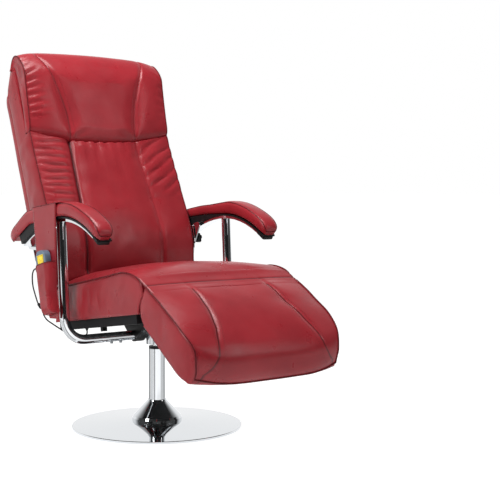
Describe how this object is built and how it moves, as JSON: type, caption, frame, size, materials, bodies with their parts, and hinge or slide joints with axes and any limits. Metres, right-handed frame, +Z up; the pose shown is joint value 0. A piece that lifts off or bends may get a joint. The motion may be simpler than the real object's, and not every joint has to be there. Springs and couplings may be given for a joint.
{
  "type": "massage chair",
  "caption": "Reclining armchair with massage motors, heated back, folding leg rest and swivel column on a round floor disc, with a corded hand control in a side pouch.",
  "frame": {"origin": "on the swivel axis at floor level, in the middle of the floor pad's underside", "axes": "+Z up, the sitter faces -Y, the sitter's right hand is at -X"},
  "size_m": [0.6374, 1.0207, 1.1013],
  "materials": {
    "chrome": "polished chrome plate",
    "zinc_steel": "zinc plated",
    "rubber": "moulded",
    "black_plastic": "fine texture",
    "black_metal": "black powder coat",
    "motor_case": "moulded motor case",
    "red_upholstery": "coated faux leather over foam",
    "red_leather": "faux leather sheet",
    "black_cloth": "woven dust cloth",
    "heater_film": "film",
    "black_timber": "stained black",
    "plywood": "sanded plywood",
    "cord_rubber": "extruded",
    "grey_plastic": "moulded ABS",
    "yellow_plastic": "printed film",
    "blue_plastic": "printed film",
    "circuit_board": "fibreglass board",
    "white_plastic": "moulded",
    "red_plastic": "moulded"
  },
  "bodies": {
    "base": {"floor_pad": "rubber", "ballast_plate": "zinc_steel", "base_cover": "chrome", "column_tube": "chrome", "base_bolts": "zinc_steel", "trumpet_cover": "chrome", "column_collar": "black_plastic", "lower_bearing": "zinc_steel"},
    "chair": {"spindle": "chrome", "hub_housing": "chrome", "lower_frame_tube": "chrome", "upper_posts": "chrome", "arm_bows": "chrome", "arm_liners": "black_plastic", "left_arm_pad": "red_upholstery", "right_arm_pad": "red_upholstery", "recline_brackets": "chrome", "pivot_bolts": "zinc_steel", "seat_saddles": "black_metal", "frame_bolts": "zinc_steel", "seat_frame": "black_timber", "seat_board": "plywood", "seat_cushion": "red_upholstery", "dust_cover": "black_cloth", "legrest_hinges": "zinc_steel", "legrest_pins": "zinc_steel", "seat_motors": "motor_case", "control_box": "black_plastic", "cord_gland": "black_plastic", "remote_pouch": "red_leather", "remote_cord": "cord_rubber", "cord_connector": "black_plastic", "supply_cord": "cord_rubber"},
    "back": {"back_board": "plywood", "back_cushion": "red_upholstery", "head_cushion": "red_upholstery", "rear_cover": "red_upholstery", "quadrants": "chrome", "back_motors": "motor_case", "heating_pad": "heater_film"},
    "left_knob": {"left_recline_knob": "black_plastic"},
    "right_knob": {"right_recline_knob": "black_plastic"},
    "legrest": {"legrest_board": "plywood", "legrest_tongues": "zinc_steel", "legrest_cushion": "red_upholstery", "legrest_motors": "motor_case", "legrest_pan": "black_plastic"},
    "remote": {"remote_back_shell": "grey_plastic", "remote_front_shell": "grey_plastic", "remote_circuit_board": "circuit_board", "remote_display": "yellow_plastic", "remote_panel": "blue_plastic"},
    "mode_button": {"button_mode": "white_plastic"},
    "power_button": {"button_power": "red_plastic"},
    "intensity_button": {"button_intensity": "white_plastic"},
    "heat_button": {"button_heat": "red_plastic"},
    "shoulder_button": {"button_shoulder": "white_plastic"},
    "seat_button": {"button_seat": "white_plastic"},
    "back_button": {"button_back": "white_plastic"},
    "leg_button": {"button_leg": "white_plastic"}
  },
  "joints": [
    {"name": "swivel", "type": "hinge", "parent": "base", "child": "chair", "pos_m": [0, 0, 0.24], "axis": [0, 0, 1], "continuous": true},
    {"name": "back_recline", "type": "hinge", "parent": "chair", "child": "back", "pos_m": [0, 0.275, 0.525], "axis": [-1, 0, 0], "range_deg": [-8, 22]},
    {"name": "legrest_raise", "type": "hinge", "parent": "chair", "child": "legrest", "pos_m": [0, -0.312, 0.424], "axis": [-1, 0, 0], "range_deg": [0, 35]},
    {"name": "left_knob_turn", "type": "hinge", "parent": "chair", "child": "left_knob", "pos_m": [-0.262, 0.17532, 0.53302], "axis": [-1, 0, 0], "range_deg": [0, 180]},
    {"name": "right_knob_turn", "type": "hinge", "parent": "chair", "child": "right_knob", "pos_m": [0.262, 0.17532, 0.53302], "axis": [1, 0, 0], "range_deg": [0, 180]},
    {"name": "remote_lift", "type": "slide", "parent": "chair", "child": "remote", "axis": [0, 0.23, 0.9732], "range_m": [0, 0.09]},
    {"name": "mode_press", "type": "slide", "parent": "remote", "child": "mode_button", "axis": [1, 0, 0], "range_m": [0, 0.0008], "stiffness_N_per_m": 500, "springref_m": -0.0004},
    {"name": "power_press", "type": "slide", "parent": "remote", "child": "power_button", "axis": [1, 0, 0], "range_m": [0, 0.0008], "stiffness_N_per_m": 500, "springref_m": -0.0004},
    {"name": "intensity_press", "type": "slide", "parent": "remote", "child": "intensity_button", "axis": [1, 0, 0], "range_m": [0, 0.0008], "stiffness_N_per_m": 500, "springref_m": -0.0004},
    {"name": "heat_press", "type": "slide", "parent": "remote", "child": "heat_button", "axis": [1, 0, 0], "range_m": [0, 0.0008], "stiffness_N_per_m": 500, "springref_m": -0.0004},
    {"name": "shoulder_press", "type": "slide", "parent": "remote", "child": "shoulder_button", "axis": [1, 0, 0], "range_m": [0, 0.0008], "stiffness_N_per_m": 500, "springref_m": -0.0004},
    {"name": "seat_press", "type": "slide", "parent": "remote", "child": "seat_button", "axis": [1, 0, 0], "range_m": [0, 0.0008], "stiffness_N_per_m": 500, "springref_m": -0.0004},
    {"name": "back_press", "type": "slide", "parent": "remote", "child": "back_button", "axis": [1, 0, 0], "range_m": [0, 0.0008], "stiffness_N_per_m": 500, "springref_m": -0.0004},
    {"name": "leg_press", "type": "slide", "parent": "remote", "child": "leg_button", "axis": [1, 0, 0], "range_m": [0, 0.0008], "stiffness_N_per_m": 500, "springref_m": -0.0004}
  ]
}
